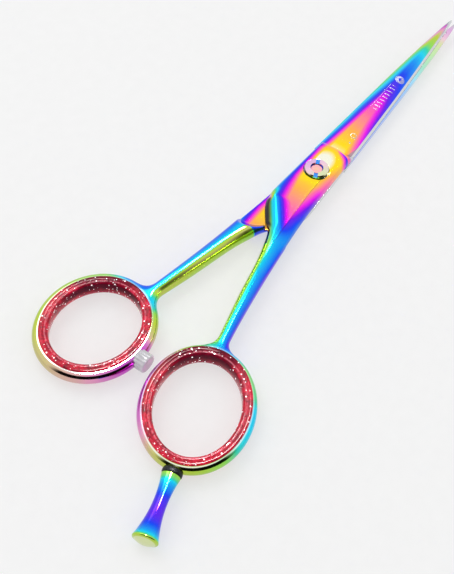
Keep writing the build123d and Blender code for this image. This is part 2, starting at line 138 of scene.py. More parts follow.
class Sheet:
    """The node tree of a material or the world, with surface coordinates in millimetres."""

    def __init__(self, owner):
        owner.use_nodes = True
        self.owner = owner
        self.nodes = owner.node_tree.nodes
        self.links = owner.node_tree.links
        self.nodes.clear()
        place = self.nodes.new("ShaderNodeTexCoord")
        self.place = place.outputs["Object"]
        self.direction = place.outputs["Generated"]
        self.x, self.y, self.z = self.parts(self.place, 1 / MM)
        self.facing_x, self.facing_y, self.facing_z = self.parts(place.outputs["Normal"], 1.0)

    def parts(self, vector, factor):
        split = self.nodes.new("ShaderNodeSeparateXYZ")
        self.links.new(vector, split.inputs[0])
        return [Field(self, output) * factor for output in split.outputs]

    def feed(self, socket, value):
        if isinstance(value, Field):
            self.links.new(value.socket, socket)
        elif isinstance(value, bpy.types.NodeSocket):
            self.links.new(value, socket)
        else:
            socket.default_value = value

    def calculate(self, operation, *inputs):
        node = self.nodes.new("ShaderNodeMath")
        node.operation = operation
        for socket, value in zip(node.inputs, inputs):
            self.feed(socket, value)
        return Field(self, node.outputs[0])

    def step(self, value, low, high):
        """0 below low, 1 above high, smooth between."""
        node = self.nodes.new("ShaderNodeMapRange")
        node.interpolation_type = "SMOOTHSTEP"
        self.feed(node.inputs["Value"], value)
        node.inputs["From Min"].default_value = low
        node.inputs["From Max"].default_value = high
        return Field(self, node.outputs["Result"])

    def until(self, value, low, high):
        """1 below low, 0 above high, smooth between."""
        return 1 - self.step(value, low, high)

    def reach(self, x=0.0, y=0.0):
        """Distance from an upright line, in millimetres."""
        return self.calculate("SQRT", (self.x - x) * (self.x - x) + (self.y - y) * (self.y - y))

    def blend(self, share, first, second):
        """first where share is 0, second where it is 1."""
        return first + (second - first) * share

    def curve(self, value, stations):
        """A smooth curve through (place, value) pairs, level beyond its ends."""
        start, end = stations[0][0], stations[-1][0]
        low = min(station[1] for station in stations)
        high = max(station[1] for station in stations)
        node = self.nodes.new("ShaderNodeFloatCurve")
        line = node.mapping.curves[0]
        while len(line.points) < len(stations):
            line.points.new(0.5, 0.5)
        for point, (place, height) in zip(line.points, stations):
            point.location = ((place - start) / (end - start), (height - low) / (high - low))
            point.handle_type = "AUTO_CLAMPED"
        node.mapping.update()
        share = (value - start) * (1 / (end - start))
        self.feed(node.inputs["Value"], share.combine("MAXIMUM", 0.0).combine("MINIMUM", 1.0))
        return Field(self, node.outputs["Value"]) * (high - low) + low

    def noise(self, size_mm, stretch=(1, 1, 1), detail=2.0):
        """Smooth noise about zero, with features of about size_mm."""
        mapping = self.nodes.new("ShaderNodeMapping")
        self.links.new(self.place, mapping.inputs["Vector"])
        mapping.inputs["Scale"].default_value = [s / (size_mm * MM) for s in stretch]
        node = self.nodes.new("ShaderNodeTexNoise")
        node.inputs["Scale"].default_value = 1.0
        node.inputs["Detail"].default_value = detail
        self.links.new(mapping.outputs[0], node.inputs["Vector"])
        return Field(self, node.outputs[0]) - 0.5

    def ramp(self, value, stops):
        """Colours along a number. Stops are (place, colour), places from 0 to 1."""
        node = self.nodes.new("ShaderNodeValToRGB")
        elements = node.color_ramp.elements
        while len(elements) < len(stops):
            elements.new(0.5)
        for element, (place, colour) in zip(elements, stops):
            element.position = place
            element.color = (*screen(colour), 1.0)
        self.feed(node.inputs[0], value)
        return node.outputs[0]

    def mix(self, share, first, second):
        """Mixes two colours."""
        node = self.nodes.new("ShaderNodeMix")
        node.data_type = "RGBA"
        self.feed(node.inputs["Factor"], share)
        for socket, colour in ((node.inputs[6], first), (node.inputs[7], second)):
            if isinstance(colour, str):
                colour = (*screen(colour), 1.0)
            self.feed(socket, colour)
        return node.outputs[2]

    def bump(self, height, distance_mm):
        node = self.nodes.new("ShaderNodeBump")
        node.inputs["Strength"].default_value = 1.0
        node.inputs["Distance"].default_value = distance_mm * MM
        self.feed(node.inputs["Height"], height)
        return node.outputs[0]

    def surface(self, **settings):
        """The principled surface. Settings name its sockets, with _ for a space."""
        node = self.nodes.new("ShaderNodeBsdfPrincipled")
        for name, value in settings.items():
            self.feed(node.inputs[name.replace("_", " ")], value)
        output = self.nodes.new("ShaderNodeOutputMaterial")
        self.links.new(node.outputs[0], output.inputs[0])
        return node


def new_sheet(name):
    return Sheet(bpy.data.materials.new(name))


def screen(colour):
    """Linear red, green and blue of a six-digit screen colour."""
    levels = [int(colour[i:i + 2], 16) / 255 for i in (0, 2, 4)]
    return [v / 12.92 if v <= 0.04045 else ((v + 0.055) / 1.055) ** 2.4 for v in levels]


# ---- the rainbow coating ----
# The coating's colour goes through these in order as it gets thicker.
FILM = ["F4F4E0", "FFDC00", "FFB04C", "FF6CA4", "EC00E4", "6800E8", "003CF0", "0098F0",
        "00D0F0", "30D0A0", "8CD854", "B8CC3C", "E49CBC", "C448C4", "8CA89C"]


def coating_colour(sheet, film):
    """The coating's colour for a film thickness."""
    last = len(FILM) - 1
    stops = [(number / last, colour) for number, colour in enumerate(FILM)]
    return sheet.ramp(film * (1 / last), stops)


def coated(sheet, film, pale_tint_and_painted_highlight=None, bare=None, etched=None, dark=None):
    """Polished steel under the coating.

    bare is where ground steel shows, etched is the matt ornament, dark mixes towards near black for
    the dark heel and for painted shade in creases, gaps and recesses, and
    pale_tint_and_painted_highlight mixes towards white, partly as painted highlights.
    """
    drift = sheet.noise(6.0) * 0.3
    colour = coating_colour(sheet, film + drift)
    wear = sheet.noise(0.5, detail=6.0)
    roughness = 0.09 + wear * 0.06
    # pale tint, partly painted highlight: mixes the film towards white
    if pale_tint_and_painted_highlight is not None:
        colour = sheet.mix(pale_tint_and_painted_highlight, colour, "FFFFFF")
    # dark heel and painted shade: mixes towards near black
    if dark is not None:
        colour = sheet.mix(dark, colour, "16181A")
    if bare is not None:
        colour = sheet.mix(bare, colour, "CFD1D4")
        roughness = roughness + bare * 0.12
    if etched is not None:
        colour = sheet.mix(etched * 0.65, colour, "B4B0B8")
        roughness = roughness + etched * 0.22
    hairlines = sheet.noise(0.25, stretch=(0.05, 1, 1), detail=3.0)
    sheet.surface(Base_Color=colour, Metallic=1.0, Roughness=roughness, Coat_Weight=0.35,
                  Coat_Roughness=0.03, Normal=sheet.bump(hairlines, 0.002))
    return sheet.owner


def boss_film(sheet):
    """The film on the boss: thinnest in an oval beside the nut."""
    x, y = sheet.x, sheet.y
    oval = sheet.calculate("SQRT", ((x - 3.0) / 4.2) * ((x - 3.0) / 4.2)
                           + ((y - 0.1) / 2.9) * ((y - 0.1) / 2.9))
    along = sheet.curve(x, [(-24, 6.0), (-20, 4.7), (-17, 3.9), (-14, 3.1), (-10, 2.4),
                            (-6, 1.7), (-3, 1.05), (6, 1.05), (7.4, 1.6), (8.4, 2.7)])
    middle = (oval.above(0.58) * 2.5).combine("MINIMUM", along)
    spine_slope = sheet.curve(x, [(-20, 1.2), (-10, 1.3), (0, 2.5), (8, 2.5)])
    spine_start = sheet.curve(x, [(-20, -0.5), (-10, 0.8), (0, 1.8), (8, 1.8)])
    to_spine = y.above(spine_start) * spine_slope
    beyond_crease = (sheet.curve(x, CREASE_LINE) - y).above(0.0)
    jump = sheet.curve(x, [(-22, 1.2), (-14, 0.9), (-8, 0.5), (0, 0.3), (4, 0.0)])
    facet_slope = sheet.curve(x, [(-24, 0.2), (-20, 0.35), (-14, 0.95), (-8, 1.1), (0, 0.8),
                                  (8, 0.6)])
    to_edge = beyond_crease * facet_slope + jump * sheet.step(beyond_crease, 0.0, 0.15)
    corner = ((x - 6.3) * 0.7 - (y + 2.6) * 0.7).above(0.0) * 2.2
    heel_end = (-9.6 - x).above(0.0) * 1.3 * sheet.step(y, 3.0, 4.2)
    film = middle + to_spine + to_edge + corner + heel_end
    from_curve = (sheet.curve(x, HEEL_LINE) - y) * 0.8
    near_curve = sheet.curve(from_curve, [(0, 11.4), (0.4, 9.9), (0.9, 8.2), (1.8, 7.2),
                                          (2.6, 6.1), (3.3, 5.0), (4.0, 4.0), (5.0, 3.0),
                                          (7.0, 0.0)])
    near_curve = near_curve * sheet.until(x, -12.7, -8.5)
    return film.combine("MAXIMUM", near_curve)


def upper_blade_film(sheet):
    """The film along the upper blade and the boss, thickest towards the spine."""
    x, y = sheet.x, sheet.y
    middle = sheet.curve(x, [(8, 0.2), (10, 0.8), (12, 1.2), (18, 2.2), (24, 3.0), (28, 3.6),
                             (34, 4.8), (38, 5.6), (44, 6.3), (50, 7.3), (54, 8.6),
                             (57, 10.0), (61, 11.0), (64.5, 12.0), (67, 13.0), (69, 14.0)])
    spine_slope = sheet.curve(x, [(8, 2.5), (16, 2.4), (30, 1.75), (45, 1.9), (55, 1.5),
                                  (66, 1.5)])
    spine_start = sheet.curve(x, [(8, 1.3), (16, 1.0), (30, 0.4), (45, 0.3), (55, 0.2),
                                  (66, 0.0)])
    edge_slope = sheet.curve(x, [(8, 1.4), (16, 1.3), (30, 0.9), (45, 0.3), (66, 0.3)])
    edge_start = sheet.curve(x, [(8, 2.2), (16, 1.6), (30, 0.8), (45, 0.7), (66, 0.2)])
    on_blade = middle + y.above(spine_start) * spine_slope + (-y).above(edge_start) * edge_slope
    past_boss = sheet.step(x + y * y * 0.05, 8.4, 8.8)
    return sheet.blend(past_boss, boss_film(sheet), on_blade)


def blade_ornament(sheet):
    """A plain etched ornament on the upper blade: a disc with a lozenge, bars, a ring and a dot."""
    x, y = sheet.x, sheet.y

    def within(distance, limit):
        return sheet.until(distance, limit - 0.06, limit + 0.06)

    lozenge = within((x - 39.9).size() * 0.9 + (y + 0.45).size() * 1.5, 0.6)
    disc = within(sheet.reach(39.9, -0.45), 1.25) * (1 - lozenge)
    place = (x - 26.0) * (1 / 1.3)
    in_row = within((x - 31.8).size(), 5.2)
    share = place.combine("FRACT") - 0.5
    lean = (share + (y + 0.6) * 0.16).size()
    bars = within(lean * 1.3, 0.17) * within((y + 0.6).size(), 0.7) * in_row
    rule = within((y - 0.55).size(), 0.07) * in_row
    dots = within((sheet.reach(15.4, -1.2) - 0.72).size(), 0.12)
    dots = dots.combine("MAXIMUM", within(sheet.reach(12.9, -1.6), 0.26))
    marks = disc.combine("MAXIMUM", bars)
    return marks.combine("MAXIMUM", rule).combine("MAXIMUM", dots)


def ring_middle(ring, over):
    """A ring's middle at rest, on the thumb half where over is true."""
    centre_x, centre_y = ring["centre"]
    if over:
        middle = turned_over(np.array([[centre_x, centre_y, 0.0]]))[0]
        centre_x, centre_y = float(middle[0]), float(middle[1])
    return centre_x, centre_y


def from_rebate(sheet, ring, over):
    """Distance outwards from a ring's rebate line, in millimetres."""
    centre_x, centre_y = ring_middle(ring, over)
    turn = math.radians(ring["tilt"])
    if over:
        turn = -turn - REST_OPENING
    dx, dy = sheet.x - centre_x, sheet.y - centre_y
    along = (dx * math.cos(turn) + dy * math.sin(turn)) / ring["half_axes"][0]
    aside = (dy * math.cos(turn) - dx * math.sin(turn)) / ring["half_axes"][1]
    reach = sheet.calculate("SQRT", along * along + aside * aside)
    return (reach - 1.0) * (sum(ring["half_axes"]) / 2)


def painted_lip_highlight(sheet, ring, over):
    """A painted highlight: a pale line along the top of a ring's lip, stronger on the side nearer the
    camera.
    """
    outwards = from_rebate(sheet, ring, over)
    line = sheet.step(outwards, 0.0, 0.12) * sheet.until(outwards, 0.25, 0.42)
    # the painted highlight is stronger on the ring's side nearer the camera
    near_side = sheet.step((sheet.x - ring["centre"][0]) * -0.87, -8.0, 4.0)
    return line * sheet.step(sheet.z, 0.6, 1.0) * (0.25 + near_side * 0.4)


def across(sheet, middle, half_width):
    """Where a point lies across a bar: 0 on its middle line and 1 on its +Y side."""
    return (sheet.y - sheet.curve(sheet.x, middle)) / sheet.curve(sheet.x, half_width)


def around_ring(sheet, node, start):
    """Angle in degrees round an insert's middle, from -180 to 180 both ways to start."""
    low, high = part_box(node)
    middle = (low + high) / 2 / MM
    turn = math.radians(start + 180)
    dx = sheet.x - middle.x
    dy = sheet.y - middle.y
    along = dx * math.cos(turn) + dy * math.sin(turn)
    aside = dy * math.cos(turn) - dx * math.sin(turn)
    return aside.combine("ARCTAN2", along) * math.degrees(1)


def finger_half_material():
    """Film, bevel, ornament and dark heel of the finger half, with painted shade: a dark line along
    the crease, a shadow on the leaning heel wall and a dark ring round the nut's pocket.
    """
    sheet = new_sheet("finger_half_coating")
    v = across(sheet, [(-56, -9.9), (-47, -8.0), (-39.4, -6.6), (-32, -5.2), (-25.3, -4.1),
                       (-20.4, -2.95)],
               [(-56, 1.4), (-47, 1.5), (-39.4, 1.7), (-32, 1.95), (-25.3, 2.33), (-20.4, 2.95)])
    on_shank = sheet.curve(v, [(-1, 5.0), (-0.88, 6.0), (-0.5, 6.8), (0, 7.7), (0.2, 8.6),
                               (0.4, 10.0), (0.7, 10.7), (1, 11.2)])
    film = sheet.blend(sheet.step(sheet.x, -26, -19), on_shank, upper_blade_film(sheet))
    angle = -around_ring(sheet, "finger_insert", 15)
    on_ring = sheet.curve(angle, [(-180, 7.2), (-165, 9.3), (-155, 9.8), (-120, 9.3), (-97, 7.9),
                                  (-70, 8.3), (-45, 10.0), (-18, 10.8), (15, 11.2), (38, 12.0),
                                  (66, 12.8), (95, 13.0), (130, 12.0), (158, 9.8), (180, 7.2)])
    film = sheet.blend(sheet.step(sheet.x, -54.5, -51), on_ring, film)
    to_edge = sheet.y - sheet.curve(sheet.x, BLADE_EDGE)
    bevel = sheet.until(to_edge, 0.48, 0.56)
    bevel = bevel * sheet.step(sheet.x, 8.8, 9.2)
    heel = sheet.until(to_edge + (sheet.x - 8.8) * 0.18, 1.35, 1.5)
    heel = heel * sheet.step(sheet.x, 8.8, 9.1)
    beyond_crease = sheet.curve(sheet.x, CREASE_LINE) - sheet.y
    # painted shade: a dark line along the crease
    crease = sheet.until((beyond_crease - 0.1).size(), 0.04, 0.16)
    crease = crease * sheet.step(sheet.x, -24, -20) * sheet.until(sheet.x, -2.5, 0.0)
    # painted shadow: the leaning wall along the heel is darkened where the lap shades it
    wall = sheet.until(sheet.facing_z, 0.64, 0.84)
    wall = wall * sheet.until(sheet.curve(sheet.x, HEEL_LINE) - sheet.y, 0.9, 1.3)
    wall = wall * sheet.step(sheet.x, -21.0, -19.5) * sheet.until(sheet.x, -13.6, -12.8)
    reach = sheet.reach()
    # painted shade: a dark ring round the rim of the nut's pocket
    painted_groove_shade = sheet.until(reach, 3.08, 3.2) * sheet.step(sheet.z, 2.0, 2.3)
    # the heel's dark grey is the steel's own; the crease line, the heel wall and the pocket ring add
    # painted shade
    dark = (heel * 0.7).combine("MAXIMUM", crease * 0.3).combine("MAXIMUM", wall)
    return coated(sheet, film, pale_tint_and_painted_highlight=painted_lip_highlight(sheet, FINGER_RING, over=False),
                  bare=bevel.combine("MAXIMUM", heel * 0.4),
                  etched=blade_ornament(sheet), dark=dark.combine("MAXIMUM", painted_groove_shade * 0.4))


def thumb_half_material():
    """Film of the thumb half, whose inner face shows when the shears open."""
    sheet = new_sheet("thumb_half_coating")
    x, y = sheet.x, sheet.y
    v = across(sheet, [(-56, 11.3), (-45, 8.75), (-37, 7.1), (-30, 5.6), (-24, 4.4), (-18, 3.2)],
               [(-56, 1.8), (-45, 1.95), (-37, 2.1), (-30, 2.3), (-24, 2.6), (-18, 3.3)])
    on_shank = sheet.curve(v, [(-1, 10.2), (-0.8, 10.6), (-0.5, 11.2), (-0.2, 10.4), (0, 8.2),
                               (0.3, 7.3), (0.6, 6.4), (1, 5.8)])
    blade = sheet.curve(x, [(8, 6.3), (25, 6.6), (40, 7.2), (46, 8.4), (54, 9.8), (60, 11.0),
                            (64, 12.4), (67, 13.0), (70, 14.0)])
    top_edge = 5.3 - (x + 17.0) * 0.1
    facet = 1.0 + (-15.8 - x).above(0.0) * 0.22 + (y - (top_edge - 1.5)).above(0.0) * 1.9
    on_ramp = sheet.step(sheet.z, 0.08, 0.3)
    on_side = sheet.until(sheet.facing_z, 0.4, 0.7) * sheet.until(y, 2.6, 3.4)
    facet = facet + (6.0 - facet) * on_ramp.combine("MAXIMUM", on_side)
    inner = sheet.blend(sheet.step(x, -12, -6), facet, blade)
    film = sheet.blend(sheet.step(x, -23.6, -23.2), on_shank, inner)
    angle = around_ring(sheet, "thumb_insert", -18)
    on_ring = sheet.curve(angle, [(-180, 7.0), (-155, 8.8), (-136, 10.0), (-81, 10.7),
                                  (-36, 11.0), (9, 11.4), (52, 12.0), (69, 12.6), (99, 13.1),
                                  (114, 12.9), (129, 11.5), (149, 10.8), (164, 8.5), (180, 7.0)])
    film = sheet.blend(sheet.step(x, -53, -49.5), on_ring, film)
    boss_side = sheet.step(x, -14, -11) * sheet.until(x, 8, 11) * sheet.until(y, -4, -3)
    # pale tint on the lower blade, plus the painted highlight along the ring's lip
    pale_tint_and_painted_highlight = sheet.step(x, 4, 8) * 0.35 + painted_lip_highlight(sheet, THUMB_RING, over=True)
    return coated(sheet, film, pale_tint_and_painted_highlight=pale_tint_and_painted_highlight, bare=boss_side)


def rest_material():
    """The finger rest's film runs along its axis."""
    sheet = new_sheet("finger_rest_coating")
    low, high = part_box("finger_rest")
    heading = Vector((math.cos(REST_HEADING), math.sin(REST_HEADING), 0.0))
    along = sheet.x * heading.x + sheet.y * heading.y
    end = max(Vector((low.x, low.y, 0.0)).dot(heading), Vector((low.x, high.y, 0.0)).dot(heading))
    start = along - (end / MM - 15.0)
    film = sheet.curve(start, [(0, 10.2), (0.7, 9.4), (1.6, 7.6), (3.5, 6.4), (5.5, 5.6),
                               (8.0, 5.3), (10.5, 6.0), (12, 7.0), (12.9, 8.6), (13.6, 10.9),
                               (14.6, 11.1)])
    end_face = sheet.step(start, 13.55, 13.7)
    return coated(sheet, film, pale_tint_and_painted_highlight=end_face * 0.35)


def nut_material():
    """The nut's film turns with the angle. Its notches are blue."""
    sheet = new_sheet("tension_nut_coating")
    angle = sheet.y.combine("ARCTAN2", sheet.x)
    reach = sheet.reach()
    face = 12.0 + (angle + 0.4).combine("SINE") * 0.9
    in_notch = sheet.until(sheet.z, 2.90, 3.0)
    film = sheet.blend(in_notch, face, 6.4 + reach * 0.2)
    # painted shade round the nut's outer rim, where it sits in the pocket
    painted_rim_shade = sheet.step(reach, 2.78, 2.86)
    return coated(sheet, film, pale_tint_and_painted_highlight=0.4 - in_notch * 0.35, dark=painted_rim_shade * 0.5)


def stud_material():
    """The pivot stud's film, thin all over."""
    sheet = new_sheet("pivot_stud_coating")
    reach = sheet.reach()
    return coated(sheet, 2.2 + reach * 0.5, pale_tint_and_painted_highlight=sheet.step(sheet.z, 0.0, 1.0) * 0.3)


def steel_material():
    """Bare ground steel."""
    sheet = new_sheet("plain_steel")
    grain = sheet.noise(0.2, detail=4.0)
    colour = sheet.ramp(grain + 0.5, [(0.2, "9EA2A6"), (0.8, "C8CBCE")])
    sheet.surface(Base_Color=colour, Metallic=1.0, Roughness=grain * 0.1 + 0.25,
                  Normal=sheet.bump(grain, 0.004))
    return sheet.owner


def nylon_material():
    """Cream nylon."""
    sheet = new_sheet("washer_nylon")
    grain = sheet.noise(0.4, detail=4.0)
    colour = sheet.ramp(grain + 0.5, [(0.2, "D9D6CC"), (0.8, "F0EEE6")])
    sheet.surface(Base_Color=colour, Roughness=grain * 0.1 + 0.45, Subsurface_Weight=0.2,
                  Subsurface_Scale=0.5 * MM, Normal=sheet.bump(grain, 0.01))
    return sheet.owner


def insert_material(name, ring, over):
    """Clear red plastic with silver flecks, and painted light: painted shade on the camera-facing
    inner wall and the ring's far side, a lighter pink lower rim on that wall, a painted highlight
    along the flange's ridge, a faint painted glow and painted glints on the flecks.
    """
    sheet = new_sheet(name)
    flecks = None
    for size, share in ((0.62, 0.84), (0.36, 0.90)):
        cells = sheet.nodes.new("ShaderNodeTexVoronoi")
        cells.inputs["Scale"].default_value = 1 / (size * MM)
        sheet.links.new(sheet.place, cells.inputs["Vector"])
        chance = sheet.parts(cells.outputs["Color"], 1.0)[0]
        distance = Field(sheet, cells.outputs["Distance"])
        spots = sheet.until(distance, 0.22, 0.32) * sheet.step(chance, share, share + 0.02)
        flecks = spots if flecks is None else flecks.combine("MAXIMUM", spots)
    cloud = sheet.noise(1.6, detail=4.0)
    streaks = sheet.noise(0.5, detail=3.0)
    red = sheet.ramp(cloud + streaks * 0.6 + 0.5,
                     [(0.2, "5C001C"), (0.42, "AC0028"), (0.60, "D80030"), (0.85, "F43460")])
    # Painted shade: the inner wall facing the camera and the ring's far side are darkened to maroon.
    towards = sheet.facing_x * -0.87 + sheet.facing_y * -0.5
    wall = sheet.until(sheet.facing_z.size(), 0.35, 0.75) * sheet.step(towards, 0.0, 0.8)
    middle_x, middle_y = ring_middle(ring, over)
    far_side = (sheet.x - middle_x) * 0.81 + (sheet.y - middle_y) * 0.59
    far_side = sheet.step(far_side, 7.0, 10.5)
    shade = (wall * sheet.step(sheet.z, -1.6, 0.6)).combine("MAXIMUM", far_side * 0.8)
    # Painted highlight: a pale pink line along the flange's ridge.
    ridge = (from_rebate(sheet, ring, over) + 1.30).size()
    ridge = sheet.until(ridge, 0.06, 0.26) * sheet.step(streaks, -0.16, 0.05)
    red = sheet.mix(shade * 0.9, red, "3C0820")
    colour = sheet.mix(ridge * 0.5, red, "FF8CA0")
    # Painted light: the camera-facing wall turns lighter pink towards its lower rim.
    colour = sheet.mix(wall * sheet.until(sheet.z, -1.8, -0.4) * 0.5, colour, "E04468")
    colour = sheet.mix(flecks, colour, "FFF4F8")
    # Painted glow: faint emission all over, and bright emission on the flecks as painted glints;
    # specular and coat drop in the painted shade.
    sheet.surface(Base_Color=colour, Roughness=0.14 + flecks * 0.1, Metallic=flecks * 0.5,
                  Specular_IOR_Level=0.2 - shade * 0.15, Coat_Weight=0.25 - shade * 0.2,
                  Coat_Roughness=0.04,
                  Emission_Color=colour, Emission_Strength=0.04 + flecks * 0.8,
                  Normal=sheet.bump(streaks, 0.03))
    return sheet.owner


def bumper_material():
    """Clear grey rubber with a faint painted glow."""
    sheet = new_sheet("clear_grey_rubber")
    cloud = sheet.noise(0.8, detail=3.0)
    colour = sheet.ramp(cloud + 0.5, [(0.25, "B8B7BC"), (0.75, "CECDD1")])
    end_face = sheet.step(-sheet.facing_y, 0.75, 0.95)
    colour = sheet.mix(end_face * 0.7, colour, "C4B4BC")
    # painted glow: a faint emission in the rubber's own colour
    sheet.surface(Base_Color=colour, Roughness=0.22 + cloud * 0.08, IOR=1.42,
                  Emission_Color=colour, Emission_Strength=0.08, Coat_Weight=0.4,
                  Coat_Roughness=0.1, Normal=sheet.bump(cloud, 0.01))
    return sheet.owner


def rubber_material():
    """Black rubber with a fine grain."""
    sheet = new_sheet("black_rubber")
    grain = sheet.noise(0.15, detail=4.0)
    colour = sheet.ramp(grain + 0.5, [(0.3, "08090C"), (0.7, "15181C")])
    sheet.surface(Base_Color=colour, Roughness=0.42 + grain * 0.15, Specular_IOR_Level=0.25,
                  Normal=sheet.bump(grain, 0.01))
    return sheet.owner


# ---- meshes ----
def mesh_piece(name, points, faces, material, body, node, sharp=40):
    """A smooth mesh from points in millimetres. It rides on a body and stands for a node."""
    mesh = bpy.data.meshes.new(name)
    mesh.from_pydata([(x * MM, y * MM, z * MM) for x, y, z in points], [], faces)
    mesh.validate()
    mesh.polygons.foreach_set("use_smooth", [True] * len(mesh.polygons))
    mesh.set_sharp_from_angle(angle=math.radians(sharp))
    mesh.materials.append(material)
    piece = bpy.data.objects.new(name, mesh)
    bpy.context.scene.collection.objects.link(piece)
    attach(piece, body)
    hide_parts(node)
    return piece


def grid_faces(rows, columns, rows_join, columns_join, first=0):
    """Four-sided faces over a grid of points, facing outwards for rows that run to the left."""
    faces = []
    for i in range(rows if rows_join else rows - 1):
        following = (i + 1) % rows
        for j in range(columns if columns_join else columns - 1):
            beside = (j + 1) % columns
            faces.append((first + i * columns + j, first + following * columns + j,
                          first + following * columns + beside, first + i * columns + beside))
    return faces


def hermite(stations):
    """A smooth function through (place, value) pairs, level beyond its ends."""
    places = np.array([station[0] for station in stations], float)
    values = np.array([station[1] for station in stations], float)
    slopes = np.gradient(values, places)

    def value_at(x):
        x = np.clip(x, places[0], places[-1])
        i = np.clip(np.searchsorted(places, x) - 1, 0, len(places) - 2)
        span = places[i + 1] - places[i]
        t = (x - places[i]) / span
        rise = (3 - 2 * t) * t * t
        start = t * (1 - t) ** 2 * span * slopes[i]
        end = t * t * (1 - t) * span * slopes[i + 1]
        return values[i] + (values[i + 1] - values[i]) * rise + start - end

    return value_at


def smooth_least(a, b, radius):
    """The smaller of two distances, rounded over where they meet."""
    share = np.clip(0.5 + 0.5 * (b - a) / radius, 0, 1)
    return b + (a - b) * share - radius * share * (1 - share)


def slope_of(line, x):
    return (line(x + 0.05) - line(x - 0.05)) / 0.1


def surface_net(field, low, high, cell):
    """The surface where field is zero, as points and four-sided faces."""
    axes = [np.arange(a, b + cell, cell) for a, b in zip(low, high)]
    values = field(*np.meshgrid(*axes, indexing="ij"))
    inside = values > 0
    cells = tuple(length - 1 for length in values.shape)
    total = np.zeros(cells + (3,))
    crossings = np.zeros(cells)
    for axis in range(3):
        others = [other for other in range(3) if other != axis]
        near = [slice(None)] * 3
        far = [slice(None)] * 3
        near[axis] = slice(0, -1)
        far[axis] = slice(1, None)
        a, b = values[tuple(near)], values[tuple(far)]
        crossed = inside[tuple(near)] != inside[tuple(far)]
        with np.errstate(divide="ignore", invalid="ignore"):
            t = np.where(crossed, a / (a - b), 0.0)
        for p in (0, 1):
            for q in (0, 1):
                pick = [slice(None)] * 3
                pick[others[0]] = slice(p, cells[others[0]] + p)
                pick[others[1]] = slice(q, cells[others[1]] + q)
                here = crossed[tuple(pick)]
                crossings += here
                total[..., axis] += t[tuple(pick)] * here
                total[..., others[0]] += p * here
                total[..., others[1]] += q * here
    active = crossings > 0
    number = np.full(cells, -1)
    number[active] = np.arange(active.sum())
    corner = np.argwhere(active)
    points = corner + total[active] / crossings[active][:, None]
    points = points * cell + np.array([axis[0] for axis in axes])
    faces = []
    for axis in range(3):
        p, q = [(1, 2), (2, 0), (0, 1)][axis]
        near = [slice(1, -1)] * 3
        far = [slice(1, -1)] * 3
        near[axis] = slice(0, -1)
        far[axis] = slice(1, None)
        crossed = inside[tuple(near)] != inside[tuple(far)]
        leaving = inside[tuple(near)][crossed]
        place = np.argwhere(crossed)
        place[:, p] += 1
        place[:, q] += 1
        ring = []
        for back_p, back_q in ((1, 1), (0, 1), (0, 0), (1, 0)):
            spot = place.copy()
            spot[:, p] -= back_p
            spot[:, q] -= back_q
            ring.append(number[tuple(spot.T)])
        quads = np.stack(ring, axis=1)
        quads[~leaving] = quads[~leaving][:, ::-1]
        faces.append(quads)
    return points, np.concatenate(faces)


def settle(field, points, most):
    """Moves points straight onto the surface where field is zero."""
    reach = 0.02
    for _ in range(4):
        x, y, z = points.T
        value = field(x, y, z)
        gradient = np.stack([
            field(x + reach, y, z) - field(x - reach, y, z),
            field(x, y + reach, z) - field(x, y - reach, z),
            field(x, y, z + reach) - field(x, y, z - reach)], axis=1) / (2 * reach)
        steep = np.maximum((gradient ** 2).sum(1), 0.05)
        move = -gradient * (value / steep)[:, None]
        length = np.linalg.norm(move, axis=1)[:, None]
        points = points + move * np.minimum(1.0, most / np.maximum(length, 1e-9))
    return points


# ---- the handles ----
HANDLE_HEIGHT = hermite(HEIGHT_LINE)
SPINE_SIDE = hermite(SPINE_LINE)
INNER_SIDE = hermite(INNER_LINE)
EDGE_SIDE = hermite(EDGE_LINE)
CREASE = hermite(CREASE_LINE)
RIM_ROUND = hermite(RIM_LINE)
RING_RIM = 1.6                # rounding of a ring's rim
INSERT_WEB = 1.2              # how far the web between the two rebates reaches in
REBATE_FLOOR = 0.95           # height of a rebate's floor
HIDDEN_STEEL = 0.3            # steel that reaches in under the insert's flange
WASHER_POCKET = (3.9, 0.24)   # radius and depth of the pocket for the blade washer
LAP_ARC = (-16.4, -5.4, 5.2)  # centre and radius of the curved end of the lap
LAP_SPREAD = 1.1              # the arc widens this much per mm of depth
BOSS_MIDDLE = (-1.5, 0.4)
BOSS_REACH = 9.9              # from there to the boss's sloping end
BOSS_SPREAD = 1.4             # the end slopes down by 1 mm in this distance
BOSS_FRONT = 10.3             # the boss's last place along X
BOSS_TOP = 2.55
SHANK_START = -21.0           # the shank runs from here towards the ring
SHANK_END = -58.0             # and ends inside it
HEEL_END = -12.3              # the boss's wall leans out from SHANK_START to here
HEEL_ROUND = 1.6
JUNCTION_ROUND = 3.0          # where the shank runs out into the ring
CROWN_DROP = 0.22             # how far the boss's face falls towards its spine
FACET_START = 0.04            # the facet begins this far under the top, at the crease
FACET_SLOPE = 0.42
GRID_LOW = (-83.0, -27.5, -2.9)
GRID_HIGH = (13.0, 6.6, 2.9)
GRID_CELL = 0.25


def ramp_up(x, start, length):
    """0 up to start and 1 from a length beyond it. A negative length runs towards -X."""
    return np.clip((x - start) / length, 0, 1)


def oval_distance(ring, growth, x, y):
    """About how far a point lies inside the ring's grown oval."""
    a, b = (half + growth for half in ring["half_axes"])
    turn = math.radians(ring["tilt"])
    dx = x - ring["centre"][0]
    dy = y - ring["centre"][1]
    along = dx * math.cos(turn) + dy * math.sin(turn)
    aside = dy * math.cos(turn) - dx * math.sin(turn)
    reach = np.hypot(along / a, aside / b)
    steep = np.hypot(along / a ** 2, aside / b ** 2)
    return (1 - reach) * np.maximum(reach, 1e-6) / np.maximum(steep, 1e-6)


